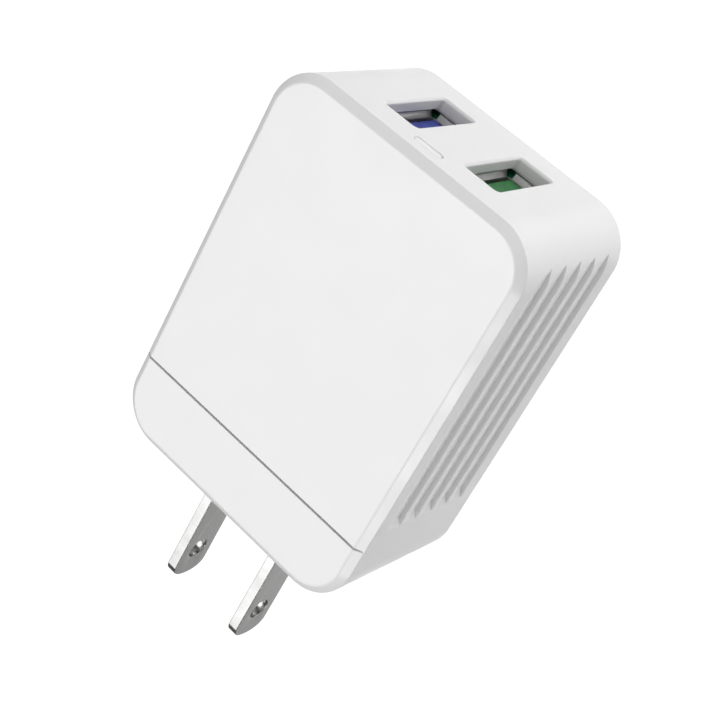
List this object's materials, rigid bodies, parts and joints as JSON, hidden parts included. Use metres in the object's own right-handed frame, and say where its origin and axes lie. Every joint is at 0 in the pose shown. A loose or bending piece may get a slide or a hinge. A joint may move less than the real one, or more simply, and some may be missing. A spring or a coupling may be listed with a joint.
{
  "type": "usb wall charger",
  "caption": "Flat rounded wall charger with a plain front face, side cooling grooves, USB ports on one end and fixed flat plug blades on the other.",
  "frame": {"origin": "middle of the plug base's flat face, half way between the two blades, where the charger meets the wall plate", "axes": "+Y points along the blades into the wall, -Y is the end with the USB ports, +Z is the plain front face and -Z the back face it lies on, X is across the width"},
  "size_m": [0.04, 0.0772, 0.0254],
  "materials": {
    "white_casing": "moulded polycarbonate blend, satin-gloss",
    "nickel_blade": "nickel-plated brass, fine stamped surface",
    "nickel_shell": "nickel-plated steel sheet",
    "contact_gold": "thin gold plating",
    "tongue_green": "glass-filled moulding",
    "tongue_blue": "glass-filled moulding",
    "clear_pipe": "translucent moulding",
    "led_body": "translucent",
    "board_green": "solder mask over glass-fibre board",
    "film_cream": "thin insulating film",
    "copper_lead": "tinned copper",
    "ferrite": "sintered ferrite",
    "black_plastic": "moulded",
    "yellow_tape": "polyester tape",
    "dark_sleeve": "shrink sleeve",
    "green_sleeve": "shrink sleeve",
    "blue_coating": "epoxy dip coating",
    "resistor_coating": "flameproof coating",
    "aluminium_sheet": "rolled sheet",
    "silicone_pad": "soft silicone pad"
  },
  "bodies": {
    "charger": {"main_housing": "white_casing", "front_cover": "white_casing", "lower_front_cover": "white_casing", "plug_insert": "white_casing", "prong_left": "nickel_blade", "prong_right": "nickel_blade", "input_lead_left": "copper_lead", "input_lead_right": "copper_lead", "main_circuit_board": "board_green", "insulation_sheet": "film_cream", "usb_shell_left": "nickel_shell", "usb_shell_right": "nickel_shell", "usb_tongue_left": "tongue_green", "usb_tongue_right": "tongue_blue", "light_pipe": "clear_pipe", "indicator_led": "led_body", "led_board": "board_green", "input_capacitor_1": "dark_sleeve", "input_capacitor_2": "dark_sleeve", "output_capacitor_1": "green_sleeve", "output_capacitor_2": "green_sleeve", "output_capacitor_3": "green_sleeve", "transformer_core": "ferrite", "transformer_bobbin": "black_plastic", "transformer_winding": "yellow_tape", "filter_choke": "copper_lead", "bridge_rectifier": "black_plastic", "fuse_resistor": "resistor_coating", "surge_disc": "blue_coating", "safety_capacitor": "blue_coating", "power_controller": "black_plastic", "port_controller": "black_plastic", "thermal_pad": "silicone_pad", "heat_spreader": "aluminium_sheet"},
    "left_port_contacts": {"usb_contact_left_1": "contact_gold", "usb_contact_left_2": "contact_gold", "usb_contact_left_3": "contact_gold", "usb_contact_left_4": "contact_gold"},
    "right_port_contacts": {"usb_contact_right_1": "contact_gold", "usb_contact_right_2": "contact_gold", "usb_contact_right_3": "contact_gold", "usb_contact_right_4": "contact_gold"}
  },
  "joints": [
    {"name": "left_contacts_press", "type": "slide", "parent": "charger", "child": "left_port_contacts", "axis": [1, 0, 0], "range_m": [0, 0.0003], "stiffness_N_per_m": 1200},
    {"name": "right_contacts_press", "type": "slide", "parent": "charger", "child": "right_port_contacts", "axis": [1, 0, 0], "range_m": [0, 0.0003], "stiffness_N_per_m": 1200}
  ]
}
